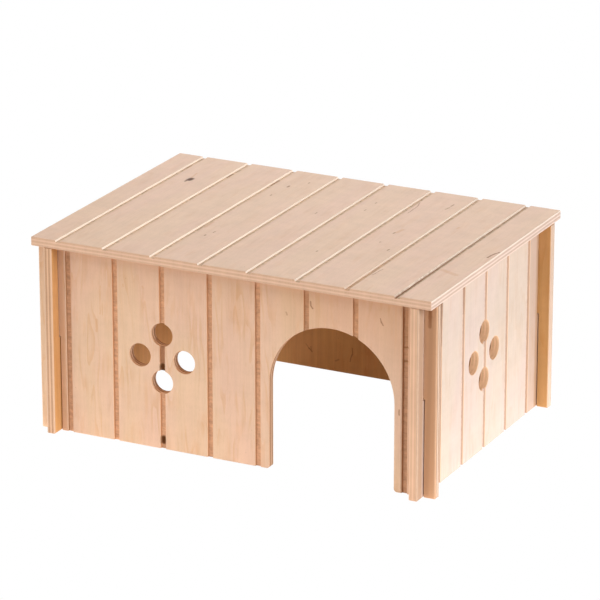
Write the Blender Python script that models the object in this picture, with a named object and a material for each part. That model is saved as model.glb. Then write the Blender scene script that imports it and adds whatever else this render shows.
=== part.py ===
"""Wooden rabbit hideout: five grooved plywood boards that slot together.

Units are metres and +Z is up. The doorway looks along -Y. The origin is the middle of
the footprint, on the floor.

Every board is drawn lying down, with its grooved face up. The walls are then stood up
and turned to face outwards, and the roof stays as it is drawn.
"""

from math import cos, pi, radians, sin

import bmesh
import bpy
from mathutils import Euler, Vector

MM = 0.001

# House: the roof's outline and the height of its top above the floor
HOUSE_WIDTH = 330 * MM
HOUSE_DEPTH = 236 * MM
HOUSE_HEIGHT = 156 * MM

# Plywood stock: all five boards are cut from the same grooved sheet. A groove's sides
# flare out towards its mouth.
BOARD = 7 * MM
GROOVE_WIDTH = 4.4 * MM
GROOVE_FLARE = 0.4 * MM
GROOVE_DEPTH = 1.4 * MM
GROOVE_PITCH = 40 * MM

# First groove of each board, from the board's left end as seen from outside.
# On both side walls the distance is from the front end.
ROOF_FIRST_GROOVE = 23 * MM
LONG_WALL_FIRST_GROOVE = 25 * MM
SIDE_WALL_FIRST_GROOVE = 39 * MM

# Corner joints: each wall runs past the one it crosses, and the side walls end a lip
# short of the roof's front and back edges
WALL_OVERRUN = 10 * MM
ROOF_LIP = 0.5 * MM
CROSSING_HEIGHT = 76 * MM
SLOT_PLAY = 0.6 * MM
SEAT_GAP = 0.3 * MM

# Doorway in the front wall: an arch on straight jambs, open to the floor
DOOR_WIDTH = 102 * MM
DOOR_HEIGHT = 118.5 * MM
DOOR_FROM_MIDDLE = 80.5 * MM
JAMB_ROUND = 2.5 * MM

# Vent holes: four in a diamond, in the front wall and in both side walls
VENT_DIAMETER = 18 * MM
VENT_FROM_CENTRE = 18.75 * MM
FRONT_VENTS_FROM_MIDDLE = 60.2 * MM
FRONT_VENTS_HEIGHT = 72.3 * MM
SIDE_VENTS_HEIGHT = 75 * MM

# Battens under the roof: they drop inside the walls and keep the roof in place
BATTEN_DEPTH = 12 * MM
BATTEN_HEIGHT = 10 * MM
BATTEN_PLAY = 1.5 * MM

# How far a cutter reaches past the faces that it cuts
CUT_OVERRUN = 5 * MM

# Facets of round cuts
VENT_SIDES = 40
ARCH_STEPS = 40
JAMB_STEPS = 5

# Sizes that follow from the ones above
WALL_HEIGHT = HOUSE_HEIGHT - BOARD - SEAT_GAP
SIDE_WALL_LENGTH = HOUSE_DEPTH - 2 * ROOF_LIP
LONG_WALL_OUTER_FACE = SIDE_WALL_LENGTH / 2 - WALL_OVERRUN
SIDE_WALL_OUTER_FACE = HOUSE_WIDTH / 2 - WALL_OVERRUN
LONG_WALL_INNER_FACE = LONG_WALL_OUTER_FACE - BOARD
SIDE_WALL_INNER_FACE = SIDE_WALL_OUTER_FACE - BOARD
SLOT_WIDTH = BOARD + 2 * SLOT_PLAY

# Linear colours of birch plywood
ROOF_COLOUR = (0.73, 0.53, 0.40, 1)
LONG_WALL_COLOUR = (0.75, 0.48, 0.30, 1)
SIDE_WALL_COLOUR = (0.78, 0.54, 0.37, 1)
BATTEN_COLOUR = (0.60, 0.38, 0.22, 1)
WOOD_ROUGHNESS = 0.7


def clear_scene():
    """Empty the file that the script runs in."""
    for item in list(bpy.data.objects):
        bpy.data.objects.remove(item, do_unlink=True)


def wood(name, colour):
    """Matt wood material for one board."""
    material = bpy.data.materials.new(name)
    material.use_nodes = True
    shader = material.node_tree.nodes["Principled BSDF"]
    shader.inputs["Base Color"].default_value = colour
    shader.inputs["Roughness"].default_value = WOOD_ROUGHNESS
    shader.inputs["Metallic"].default_value = 0
    material.diffuse_color = colour
    return material


def add_prism(mesh, base, sweep):
    """Add a closed prism: the base points make a face, which is extruded along sweep."""
    corners = [mesh.verts.new(point) for point in base]
    face = mesh.faces.new(corners)
    swept = bmesh.ops.extrude_face_region(mesh, geom=[face])["geom"]
    moved = [item for item in swept if isinstance(item, bmesh.types.BMVert)]
    bmesh.ops.translate(mesh, verts=moved, vec=sweep)


def finish_object(name, mesh):
    """Turn a bmesh into a named object with its faces pointing out."""
    bmesh.ops.recalc_face_normals(mesh, faces=mesh.faces)
    data = bpy.data.meshes.new(name)
    mesh.to_mesh(data)
    mesh.free()
    item = bpy.data.objects.new(name, data)
    bpy.context.collection.objects.link(item)
    return item


def groove_places(length, first):
    """Middle of each groove that fits on the board, from the board's own middle."""
    room = length - first - GROOVE_WIDTH
    count = int(room / GROOVE_PITCH) + 1
    return [first + step * GROOVE_PITCH - length / 2 for step in range(count)]


def board_end(length, grooves):
    """Outline of a board's end, at y = 0: a flat inner face and a grooved outer one."""
    half = length / 2
    mouth = GROOVE_WIDTH / 2
    floor = mouth - GROOVE_FLARE
    outline = [Vector((-half, 0, 0)), Vector((half, 0, 0)), Vector((half, 0, BOARD))]
    for middle in sorted(grooves, reverse=True):
        outline.append(Vector((middle + mouth, 0, BOARD)))
        outline.append(Vector((middle + floor, 0, BOARD - GROOVE_DEPTH)))
        outline.append(Vector((middle - floor, 0, BOARD - GROOVE_DEPTH)))
        outline.append(Vector((middle - mouth, 0, BOARD)))
    outline.append(Vector((-half, 0, BOARD)))
    return outline


def grooved_board(name, length, height, grooves, colour):
    """A board lying on its inner face: x runs across the grooves and y along them."""
    mesh = bmesh.new()
    add_prism(mesh, board_end(length, grooves), Vector((0, height, 0)))
    board = finish_object(name, mesh)
    board.data.materials.append(wood(name, colour))
    return board


def arc(centre_x, centre_y, radius, start, end, steps):
    """Points of an arc, from the start angle to the end angle."""
    points = []
    for step in range(steps + 1):
        angle = start + (end - start) * step / steps
        points.append((centre_x + radius * cos(angle), centre_y + radius * sin(angle)))
    return points


def door_outline():
    """The doorway, with the sharp foot of each jamb rounded off."""
    right = DOOR_FROM_MIDDLE + DOOR_WIDTH / 2
    left = DOOR_FROM_MIDDLE - DOOR_WIDTH / 2
    spring = DOOR_HEIGHT - DOOR_WIDTH / 2
    outline = [(right + JAMB_ROUND, -CUT_OVERRUN)]
    outline += arc(right + JAMB_ROUND, JAMB_ROUND, JAMB_ROUND, -pi / 2, -pi, JAMB_STEPS)
    outline += arc(DOOR_FROM_MIDDLE, spring, DOOR_WIDTH / 2, 0, pi, ARCH_STEPS)
    outline += arc(left - JAMB_ROUND, JAMB_ROUND, JAMB_ROUND, 0, -pi / 2, JAMB_STEPS)
    outline.append((left - JAMB_ROUND, -CUT_OVERRUN))
    return outline


def vent_outlines(middle, height):
    """Four round holes in a diamond."""
    outlines = []
    for quarter in range(4):
        angle = quarter * pi / 2
        hole_x = middle + VENT_FROM_CENTRE * cos(angle)
        hole_y = height + VENT_FROM_CENTRE * sin(angle)
        circle = arc(hole_x, hole_y, VENT_DIAMETER / 2, 0, 2 * pi, VENT_SIDES)
        outlines.append(circle[:-1])
    return outlines


def slot_outlines(place, low, high):
    """One slot at each end of a wall, at the same distance from its middle."""
    outlines = []
    for middle in (-place, place):
        left = middle - SLOT_WIDTH / 2
        right = middle + SLOT_WIDTH / 2
        outlines.append([(left, low), (right, low), (right, high), (left, high)])
    return outlines


def cut_through(board, outlines):
    """Cut flat outlines right through a board."""
    mesh = bmesh.new()
    for outline in outlines:
        base = [Vector((x, y, -CUT_OVERRUN)) for x, y in outline]
        add_prism(mesh, base, Vector((0, 0, BOARD + 2 * CUT_OVERRUN)))
    cutter = finish_object(board.name + "_cutter", mesh)
    cutter.parent = board
    cutter.display_type = "WIRE"
    cutter.hide_render = True
    cut = board.modifiers.new("cuts", "BOOLEAN")
    cut.operation = "DIFFERENCE"
    cut.object = cutter


def stand_up(board, face_direction, inner_face):
    """Stand a wall on its lower edge with its grooved face turned outwards.

    The direction is the turn about Z from the front, and inner_face is how far the
    wall's inner face lies from the middle of the house.
    """
    turn = Euler((radians(90), 0, face_direction))
    outwards = Vector((sin(face_direction), -cos(face_direction), 0))
    board.rotation_euler = turn
    board.location = outwards * inner_face


def long_wall(name):
    """Front or back wall: slotted from its lower edge to drop over the side walls."""
    grooves = groove_places(HOUSE_WIDTH, LONG_WALL_FIRST_GROOVE)
    wall = grooved_board(name, HOUSE_WIDTH, WALL_HEIGHT, grooves, LONG_WALL_COLOUR)
    side_wall_middle = SIDE_WALL_OUTER_FACE - BOARD / 2
    slots = slot_outlines(side_wall_middle, -CUT_OVERRUN, CROSSING_HEIGHT)
    return wall, slots


def side_wall(name, front_end):
    """Left or right wall: slotted from its upper edge, with its own vent holes.

    front_end is the sign of x at the end that goes to the front of the house.
    """
    from_front = groove_places(SIDE_WALL_LENGTH, SIDE_WALL_FIRST_GROOVE)
    grooves = [-front_end * place for place in from_front]
    wall = grooved_board(name, SIDE_WALL_LENGTH, WALL_HEIGHT, grooves, SIDE_WALL_COLOUR)
    long_wall_middle = LONG_WALL_OUTER_FACE - BOARD / 2
    slot_floor = CROSSING_HEIGHT - SEAT_GAP
    slots = slot_outlines(long_wall_middle, slot_floor, WALL_HEIGHT + CUT_OVERRUN)
    cut_through(wall, slots + vent_outlines(0, SIDE_VENTS_HEIGHT))
    return wall


def roof_batten(name, roof, side):
    """Batten under the roof, just inside the front wall (-1) or the back wall (1)."""
    half = SIDE_WALL_INNER_FACE - BATTEN_PLAY
    near = LONG_WALL_INNER_FACE - BATTEN_PLAY
    far = near - BATTEN_DEPTH
    top = -SEAT_GAP
    mesh = bmesh.new()
    base = [
        Vector((-half, side * far, top)),
        Vector((half, side * far, top)),
        Vector((half, side * near, top)),
        Vector((-half, side * near, top)),
    ]
    add_prism(mesh, base, Vector((0, 0, -BATTEN_HEIGHT)))
    batten = finish_object(name, mesh)
    batten.data.materials.append(wood(name, BATTEN_COLOUR))
    batten.parent = roof
    return batten


def build_walls():
    """The four walls, each standing on the floor."""
    front, front_slots = long_wall("front_wall")
    vents = vent_outlines(-FRONT_VENTS_FROM_MIDDLE, FRONT_VENTS_HEIGHT)
    cut_through(front, front_slots + vents + [door_outline()])
    stand_up(front, 0, LONG_WALL_INNER_FACE)

    back, back_slots = long_wall("back_wall")
    cut_through(back, back_slots)
    stand_up(back, radians(180), LONG_WALL_INNER_FACE)

    right = side_wall("right_wall", -1)
    stand_up(right, radians(90), SIDE_WALL_INNER_FACE)

    left = side_wall("left_wall", 1)
    stand_up(left, radians(-90), SIDE_WALL_INNER_FACE)


def build_roof():
    """The roof board with its two battens; its grooves run from front to back."""
    grooves = groove_places(HOUSE_WIDTH, ROOF_FIRST_GROOVE)
    roof = grooved_board("roof", HOUSE_WIDTH, HOUSE_DEPTH, grooves, ROOF_COLOUR)
    for corner in roof.data.vertices:
        corner.co.y -= HOUSE_DEPTH / 2
    roof.location = (0, 0, HOUSE_HEIGHT - BOARD)
    roof_batten("roof_batten_front", roof, -1)
    roof_batten("roof_batten_back", roof, 1)


clear_scene()
build_walls()
build_roof()
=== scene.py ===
# %% [markdown]
# # Dressing a slot-together plywood hideout
# The packed CAD model holds the right shapes: five grooved boards and two battens. What it
# lacks is what makes a board look like wood, namely eased edges, plies, grain and tool
# marks. This lesson builds each board again with those, over the CAD part it stands for.

# %% Open the packed model
from math import cos, pi, radians, sin

import bmesh
import bpy
from mathutils import Euler, Matrix, Vector


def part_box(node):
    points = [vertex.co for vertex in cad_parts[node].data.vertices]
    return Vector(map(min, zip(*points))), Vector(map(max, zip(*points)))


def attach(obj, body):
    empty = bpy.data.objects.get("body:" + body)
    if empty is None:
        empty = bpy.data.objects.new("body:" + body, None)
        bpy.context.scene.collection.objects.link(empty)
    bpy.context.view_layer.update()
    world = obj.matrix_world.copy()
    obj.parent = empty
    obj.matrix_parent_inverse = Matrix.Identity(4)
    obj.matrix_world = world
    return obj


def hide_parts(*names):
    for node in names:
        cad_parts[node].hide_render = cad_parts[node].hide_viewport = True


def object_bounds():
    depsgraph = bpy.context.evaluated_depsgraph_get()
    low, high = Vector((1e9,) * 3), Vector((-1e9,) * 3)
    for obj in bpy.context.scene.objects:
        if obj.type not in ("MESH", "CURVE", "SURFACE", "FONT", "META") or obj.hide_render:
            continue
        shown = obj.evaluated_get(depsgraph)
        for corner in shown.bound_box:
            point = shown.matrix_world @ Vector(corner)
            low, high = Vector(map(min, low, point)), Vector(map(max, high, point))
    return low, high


MM = 0.001

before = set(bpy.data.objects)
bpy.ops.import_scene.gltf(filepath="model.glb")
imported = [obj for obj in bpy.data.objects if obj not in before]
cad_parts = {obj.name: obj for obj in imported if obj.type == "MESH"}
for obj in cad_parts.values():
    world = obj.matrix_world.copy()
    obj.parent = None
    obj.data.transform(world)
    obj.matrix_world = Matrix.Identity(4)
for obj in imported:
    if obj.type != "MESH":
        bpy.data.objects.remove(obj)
cad_low, cad_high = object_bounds()
print("CAD box, mm:", [round(side / MM, 1) for side in cad_high - cad_low])

# %% [markdown]
# Node trees do two jobs here: they repeat shapes, and they paint wood. Written out in
# full they take a line for every node and every wire, so two small helpers keep that
# short. The first wraps a socket that carries a number, so that maths on it reads like
# ordinary Python: 1 - mask adds the Math node that takes the mask from one.

# %% A number that does its own maths
class Number:
    """A socket that carries a number. Arithmetic on it adds Math nodes."""

    def __init__(self, wiring, socket):
        self.wiring = wiring
        self.socket = socket

    def math(self, operation, *terms):
        settings, sockets = {"operation": operation}, dict(enumerate(terms))
        return self.wiring.number("ShaderNodeMath", settings, sockets)

    def __add__(self, other):
        return self.math("ADD", self, other)

    def __radd__(self, other):
        return self.math("ADD", other, self)

    def __sub__(self, other):
        return self.math("SUBTRACT", self, other)

    def __rsub__(self, other):
        return self.math("SUBTRACT", other, self)

    def __mul__(self, other):
        return self.math("MULTIPLY", self, other)

    def __rmul__(self, other):
        return self.math("MULTIPLY", other, self)

    def __truediv__(self, other):
        return self.math("DIVIDE", self, other)

    def __rtruediv__(self, other):
        return self.math("DIVIDE", other, self)

    def __pow__(self, other):
        return self.math("POWER", self, other)

    def __rpow__(self, other):
        return self.math("POWER", other, self)

    def __abs__(self):
        return self.math("ABSOLUTE", self)

    def least(self, other):
        return self.math("MINIMUM", self, other)

    def most(self, other):
        return self.math("MAXIMUM", self, other)

    def above(self, other):
        return self.math("GREATER_THAN", self, other)

    def sign(self):
        return self.math("SIGN", self)

    def wrapped(self, low, high):
        return self.math("WRAP", self, high, low)

    def fade(self, start, end):
        """0 up to start, 1 from end, and an even curve between; start may be the larger."""
        low, high, first, last = (start, end, 0, 1) if start < end else (end, start, 1, 0)
        sockets = {"Value": self, "From Min": low, "From Max": high}
        sockets |= {"To Min": first, "To Max": last}
        settings = {"interpolation_type": "SMOOTHSTEP"}
        return self.wiring.number("ShaderNodeMapRange", settings, sockets)


print("a Number can:", *(name for name in vars(Number) if not name.startswith("_")))

# %% [markdown]
# The second helper wraps a whole tree. One method adds any node: its type, then its
# settings, which are set first, then the values or links of its sockets. The rest are
# shorthand for the nodes that come up most often, such as the one that mixes two colours.

# %% A tree that nodes are added to
class Wiring:
    """A node tree that nodes are added to."""

    def __init__(self, tree):
        self.tree = tree

    def feed(self, socket, value):
        if isinstance(value, Number):
            value = value.socket
        if isinstance(value, bpy.types.NodeSocket):
            self.tree.links.new(value, socket)
        elif socket.type == "RGBA" and len(value) == 3:
            socket.default_value = (*value, 1)
        else:
            socket.default_value = value

    def add(self, kind, settings=None, sockets=None, out=0):
        """Add a node and return its output socket out. A ramp's stops are a setting."""
        node = self.tree.nodes.new(kind)
        for name, setting in (settings or {}).items():
            if name == "stops":
                self.set_stops(node.color_ramp, setting)
            else:
                setattr(node, name, setting)
        for key, value in (sockets or {}).items():
            several = value if isinstance(value, list) else [value]
            for one in several:
                self.feed(node.inputs[key], one)
        return node.outputs[out]

    def set_stops(self, ramp, stops):
        while len(ramp.elements) < len(stops):
            ramp.elements.new(1)
        for element, (place, colour) in zip(ramp.elements, stops):
            element.position = place
            element.color = (*colour, 1)

    def number(self, kind, settings=None, sockets=None, out=0):
        return Number(self, self.add(kind, settings, sockets, out))

    def vector(self, x, y, z):
        return self.add("ShaderNodeCombineXYZ", None, {"X": x, "Y": y, "Z": z})

    def parts(self, vector):
        node = self.add("ShaderNodeSeparateXYZ", None, {"Vector": vector}).node
        return [Number(self, output) for output in node.outputs]

    def mix(self, share, first, second, blend="MIX"):
        """Mix two colours: all first at share 0, all second at share 1."""
        settings = {"data_type": "RGBA", "blend_type": blend, "clamp_result": True}
        return self.add("ShaderNodeMix", settings, {0: share, 6: first, 7: second}, out=2)

    def tint(self, colour, by):
        """Multiply a colour by another one, or by a Number to make it lighter or darker."""
        by = self.vector(by, by, by) if isinstance(by, Number) else by
        return self.mix(1, colour, by, "MULTIPLY")


print("a Wiring can:", *(name for name in vars(Wiring) if not name.startswith("_")))

# %% [markdown]
# ## The boards
# All five boards are sawn from one kind of sheet: 7 mm birch plywood in five plies, with
# a groove routed every 40 mm, one ply deep. A board like that is a rule more than a
# drawing, so a geometry tree can make it: a slab, a groove cutter that repeats along a
# line, and vent holes that repeat round a circle. The openings that follow no rule come
# in as closed prisms, as the geometry that the tree starts from.

# %% The sheet
PLIES = 5
GROOVE_PITCH = 40 * MM
OVERRUN = 5 * MM  # how far a cutter reaches past the board

wall_low, wall_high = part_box("front_wall")
BOARD = wall_high.y - wall_low.y
print("board thickness, mm:", round(BOARD / MM, 2), " plies:", PLIES)

# %% [markdown]
# A geometry tree has inputs as a function has arguments. These carry plain names, so that
# the same tree serves a roof and a wall and it stays clear which size goes where.

# %% Inputs of the board tree
BOARD_INPUTS = {
    "NodeSocketFloat": (
        "Length", "Height", "Thickness", "First Groove", "Groove Pitch", "Groove Mouth",
        "Groove Flare", "Groove Depth", "Vent Radius", "Vent Ring",
    ),
    "NodeSocketInt": ("Grooves", "Vents"),
    "NodeSocketVector": ("Vent Middle",),
    "NodeSocketMaterial": ("Wood",),
}
print("inputs:", sum(len(names) for names in BOARD_INPUTS.values()))

# %% [markdown]
# The groove cutter is a box that widens upwards, because a routed groove flares towards
# its mouth. A line of points repeats it across the board. The vent cutter is a cylinder,
# which a circle of points repeats round the middle of the diamond.

# %% Cutters for the grooves and the vents
VENT_SIDES = 56


def groove_cutters(wiring, size):
    """A row of boxes as deep as the grooves below the face, and as tall above it."""
    length, height, depth = size["Length"], size["Height"], size["Groove Depth"]
    bar = {"Size": wiring.vector(size["Groove Mouth"], height + 2 * OVERRUN, 2 * depth)}
    bar = wiring.add("GeometryNodeMeshCube", None, bar)
    across, _, out = wiring.parts(wiring.add("GeometryNodeInputPosition"))
    flare = wiring.vector(across.sign() * size["Groove Flare"] * out / depth, 0, 0)
    bar = wiring.add("GeometryNodeSetPosition", None, {"Geometry": bar, "Offset": flare})
    start = wiring.vector(size["First Groove"] - length / 2, height / 2, size["Thickness"])
    step = wiring.vector(size["Groove Pitch"], 0, 0)
    row = {"Count": size["Grooves"], "Start Location": start, "Offset": step}
    row = wiring.add("GeometryNodeMeshLine", None, row)
    return wiring.add("GeometryNodeInstanceOnPoints", None, {"Points": row, "Instance": bar})


def vent_cutters(wiring, size):
    """Cylinders on a circle, long enough to pass through the board."""
    bar = {"Vertices": VENT_SIDES, "Radius": size["Vent Radius"]}
    bar |= {"Depth": 4 * size["Thickness"]}
    bar = wiring.add("GeometryNodeMeshCylinder", None, bar)
    ring = {"Vertices": size["Vents"], "Radius": size["Vent Ring"]}
    ring = wiring.add("GeometryNodeMeshCircle", None, ring)
    bars = wiring.add("GeometryNodeInstanceOnPoints", None, {"Points": ring, "Instance": bar})
    placed = {"Geometry": bars, "Translation": size["Vent Middle"]}
    return wiring.add("GeometryNodeTransform", None, placed)


print("sides of a vent:", VENT_SIDES)

# %% [markdown]
# The tree starts from a plain slab and takes everything away in one exact Boolean. That
# keeps the board one closed skin, which a stack of touching strips would not be. Realize
# Instances turns the repeats into real faces, because only those can be cut or exported.

# %% The grooved board as a geometry tree
def make_board_tree():
    """Slab, minus repeated grooves, minus vents round a circle, minus the given prisms."""
    tree = bpy.data.node_groups.new("grooved board", "GeometryNodeTree")
    tree.interface.new_socket("Openings", in_out="INPUT", socket_type="NodeSocketGeometry")
    for kind, names in BOARD_INPUTS.items():
        for name in names:
            tree.interface.new_socket(name, in_out="INPUT", socket_type=kind)
    tree.interface.new_socket("Board", in_out="OUTPUT", socket_type="NodeSocketGeometry")
    wiring = Wiring(tree)
    entry = tree.nodes.new("NodeGroupInput")
    size = {output.name: Number(wiring, output) for output in entry.outputs if output.name}
    length, height, thickness = size["Length"], size["Height"], size["Thickness"]

    slab = {"Size": wiring.vector(length, height, thickness)}
    slab = wiring.add("GeometryNodeMeshCube", None, slab)
    lifted = {"Translation": wiring.vector(0, height / 2, thickness / 2), "Geometry": slab}
    slab = wiring.add("GeometryNodeTransform", None, lifted)
    cutters = [
        wiring.add("GeometryNodeRealizeInstances", None, {0: groove_cutters(wiring, size)}),
        wiring.add("GeometryNodeRealizeInstances", None, {0: vent_cutters(wiring, size)}),
        size["Openings"],
    ]
    exact = {"operation": "DIFFERENCE", "solver": "EXACT"}
    cut = wiring.add("GeometryNodeMeshBoolean", exact, {"Mesh 1": slab, "Mesh 2": cutters})
    whole = wiring.add("GeometryNodeRealizeInstances", None, {0: cut})
    wooden = {"Geometry": whole, "Material": size["Wood"]}
    finished = wiring.add("GeometryNodeSetMaterial", None, wooden)
    leave = tree.nodes.new("NodeGroupOutput")
    tree.links.new(finished, leave.inputs["Board"])
    return tree


board_tree = make_board_tree()
print("board tree:", len(board_tree.nodes), "nodes")

# %% [markdown]
# The doorway and the slots are drawn as outlines. Each becomes a prism that reaches
# past both faces of the board, so that the cut leaves no skin behind.

# %% Outlines of the doorway and the slots
DOOR_MIDDLE = 80.5 * MM
DOOR_RADIUS = 51 * MM
DOOR_SPRING = 67.5 * MM  # height at which the jambs become the arch
JAMB_ROUND = 2.5 * MM
SLOT_PLAY = 0.6 * MM
ARCH_STEPS = 96
FOOT_STEPS = 6


def arc(centre, radius, start, end, steps):
    """Points on an arc, both ends included."""
    turns = [start + (end - start) * step / steps for step in range(steps + 1)]
    return [(centre[0] + radius * cos(turn), centre[1] + radius * sin(turn)) for turn in turns]


def doorway():
    """A round arch on straight jambs whose feet are rounded over."""
    right, left = DOOR_MIDDLE + DOOR_RADIUS, DOOR_MIDDLE - DOOR_RADIUS
    foot = JAMB_ROUND
    outline = [(right + foot, -OVERRUN)]
    outline += arc((right + foot, foot), foot, -pi / 2, -pi, FOOT_STEPS)
    outline += arc((DOOR_MIDDLE, DOOR_SPRING), DOOR_RADIUS, 0, pi, ARCH_STEPS)
    outline += arc((left - foot, foot), foot, 0, -pi / 2, FOOT_STEPS)
    outline.append((left - foot, -OVERRUN))
    return outline


def slots(place, low, high):
    """One slot near each end of a board."""
    half = BOARD / 2 + SLOT_PLAY
    spans = [(middle - half, middle + half) for middle in (-place, place)]
    return [[(a, low), (b, low), (b, high), (a, high)] for a, b in spans]


def prisms(outlines):
    """A mesh that holds one closed prism for each outline."""
    mesh = bmesh.new()
    for outline in outlines:
        corners = [mesh.verts.new((x, y, -OVERRUN)) for x, y in outline]
        face = mesh.faces.new(corners)
        swept = bmesh.ops.extrude_face_region(mesh, geom=[face])["geom"]
        moved = [item for item in swept if isinstance(item, bmesh.types.BMVert)]
        bmesh.ops.translate(mesh, verts=moved, vec=(0, 0, BOARD + 2 * OVERRUN))
    bmesh.ops.recalc_face_normals(mesh, faces=mesh.faces)
    data = bpy.data.meshes.new("openings")
    mesh.to_mesh(data)
    mesh.free()
    return data


print("doorway outline:", len(doorway()), "points")

# %% [markdown]
# Sanding takes the sharpness off every edge that a hand can reach. On the real boards
# that shows as a thin bright line along each edge, so it is worth real geometry. Rounding
# can fail where the points of a curve crowd up to a corner, because the rounded strips
# would cross one another. So such points are welded into the corner first.

# %% Weld the points that crowd a corner
CLOSE = 1.2 * MM
SHARP = radians(20)  # an edge that turns further belongs to an outline
STRAIGHT = radians(160)  # an outline that opens less than this has a corner


def weld_close_points(mesh):
    """Weld each smooth point of an outline into a corner that is too near to it."""

    def is_corner(vert):
        outward = [edge for edge in vert.link_edges if edge.calc_face_angle(0) > SHARP]
        if len(outward) != 2:
            return True
        first, second = (edge.other_vert(vert).co - vert.co for edge in outward)
        return first.angle(second) < STRAIGHT

    targets = {}
    for edge in mesh.edges:
        if edge.calc_length() < CLOSE and edge.calc_face_angle(0) > SHARP:
            first, second = edge.verts
            if is_corner(second) and not is_corner(first):
                targets.setdefault(first, second)
            elif is_corner(first) and not is_corner(second):
                targets.setdefault(second, first)
    bmesh.ops.weld_verts(mesh, targetmap=targets)
    return len(targets)


print("welding closer than, mm:", CLOSE / MM)

# %% [markdown]
# A Bevel modifier driven by edge weights does the rounding. Only outward edges get a
# weight: a small one at the groove mouths, and the largest at the tall ends of the walls.

# %% Mark the edges to be eased
EDGE_ROUND = 0.55 * MM
LARGEST_ROUND = 1.1 * MM
MOUTH_ROUND = 0.32 * MM
OUTWARD = radians(30)  # an edge has to turn outwards this far to be eased
ONE_PLANE = radians(0.2)  # faces that turn less than this become one
SAME_POINT = 0.001 * MM
AT_END = 0.01 * MM
LEVEL = 0.9  # least upward reach of the normal of a flat face
GROOVE_SIDE = (0.1, 0.6)  # upward reach of the normals of groove sides


def ease(data, length, end_round):
    """Mark how far each outward edge of a board that still lies flat is rounded."""
    mesh = bmesh.new()
    mesh.from_mesh(data)
    bmesh.ops.remove_doubles(mesh, verts=mesh.verts, dist=SAME_POINT)
    bmesh.ops.dissolve_limit(
        mesh, angle_limit=ONE_PLANE, use_dissolve_boundaries=False,
        verts=mesh.verts, edges=mesh.edges,
    )
    welded = weld_close_points(mesh)
    weight = mesh.edges.layers.float.new("bevel_weight_edge")
    for edge in mesh.edges:
        if not edge.is_manifold or edge.calc_face_angle_signed(0) < OUTWARD:
            continue
        slopes = sorted(face.normal.z for face in edge.link_faces)
        at_end = min(abs(vert.co.x) for vert in edge.verts) > length / 2 - AT_END
        if slopes[1] > LEVEL and GROOVE_SIDE[0] < slopes[0] < GROOVE_SIDE[1]:
            edge[weight] = MOUTH_ROUND / LARGEST_ROUND
        elif at_end and max(abs(slope) for slope in slopes) > LEVEL:
            edge[weight] = end_round / LARGEST_ROUND
        else:
            edge[weight] = EDGE_ROUND / LARGEST_ROUND
    mesh.to_mesh(data)
    mesh.free()
    return welded


print("edge round, mm:", EDGE_ROUND / MM)

# %% [markdown]
# A modifier's result exists only while Blender evaluates the object. To keep it, the
# evaluated object is copied into a plain mesh. The other helpers here set a tree's
# inputs by name and report what a board came out as, because an open edge or a sliver of
# a face would show only much later, as a flaw in a render or an export.

# %% From a live tree to a plain mesh
CM = 0.01
SLIVER = 1e-12  # a face with less area than this, in square metres, is a fault


def add_object(name, data):
    """A new object in the scene, which holds the data."""
    item = bpy.data.objects.new(name, data)
    bpy.context.scene.collection.objects.link(item)
    return item


def plain_mesh(item, name):
    """The item's mesh with its modifiers worked in."""
    bpy.context.view_layer.update()
    evaluated = item.evaluated_get(bpy.context.evaluated_depsgraph_get())
    data = bpy.data.meshes.new_from_object(evaluated)
    data.name = name
    return data


def set_inputs(modifier, values):
    """Set a geometry tree's inputs by the identifiers of their sockets."""
    for item in modifier.node_group.interface.items_tree:
        if item.name in values and item.in_out == "INPUT":
            modifier[item.identifier] = values[item.name]


def report_mesh(item, welded):
    """Print a board's size, its faces and whether its skin is closed."""
    mesh = bmesh.new()
    mesh.from_mesh(item.data)
    open_edges = sum(not edge.is_manifold for edge in mesh.edges)
    slivers = sum(face.calc_area() < SLIVER for face in mesh.faces)
    volume = mesh.calc_volume() / CM ** 3
    mesh.free()
    size = [round(side / MM, 2) for side in item.dimensions]
    print(item.name, size, "mm", len(item.data.polygons), "faces", round(volume, 1), "cm3,",
          open_edges, "open edges,", slivers, "slivers,", welded, "welded")


print("slivers are smaller than, square mm:", SLIVER / MM ** 2)

# %% [markdown]
# Now the recipe for one board. An object holds the openings, the geometry tree turns
# them into the board, and the result is taken as a plain mesh. The Bevel modifier comes
# next and is made permanent the same way. Last, the board's place in the house is put
# into the mesh, so that its object stays at the origin as a CAD part's does.

# %% Recipe for one board
SHEET = {
    "Thickness": BOARD,
    "Groove Pitch": GROOVE_PITCH,
    "Groove Mouth": 4.4 * MM,
    "Groove Flare": 0.4 * MM,
    "Groove Depth": 1.4 * MM,
    "Vents": 0,
    "Vent Radius": 9 * MM,
    "Vent Ring": 18.75 * MM,
    "Vent Middle": (0, 0, 0),
}
ROUND_STEPS = 3


def make_board(name, openings, sizes, end_round, place, turn):
    """Build a board lying flat, ease it, and put it in its place in the house."""
    item = add_object(name, prisms(openings))
    tree = item.modifiers.new("board", "NODES")
    tree.node_group = board_tree
    set_inputs(tree, SHEET | sizes)
    item.data = plain_mesh(item, name)
    item.modifiers.remove(tree)
    welded = ease(item.data, sizes["Length"], end_round)

    bevel = item.modifiers.new("eased edges", "BEVEL")
    bevel.limit_method = "WEIGHT"
    bevel.width = LARGEST_ROUND
    bevel.segments = ROUND_STEPS
    bevel.use_clamp_overlap = False
    bevel.loop_slide = False
    item.data = plain_mesh(item, name)
    item.modifiers.remove(bevel)

    item.data.transform(Matrix.Translation(place) @ Euler(turn).to_matrix().to_4x4())
    report_mesh(item, welded)
    return item


print("sheet:", {name: value for name, value in SHEET.items() if name.startswith("Groove")})

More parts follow.
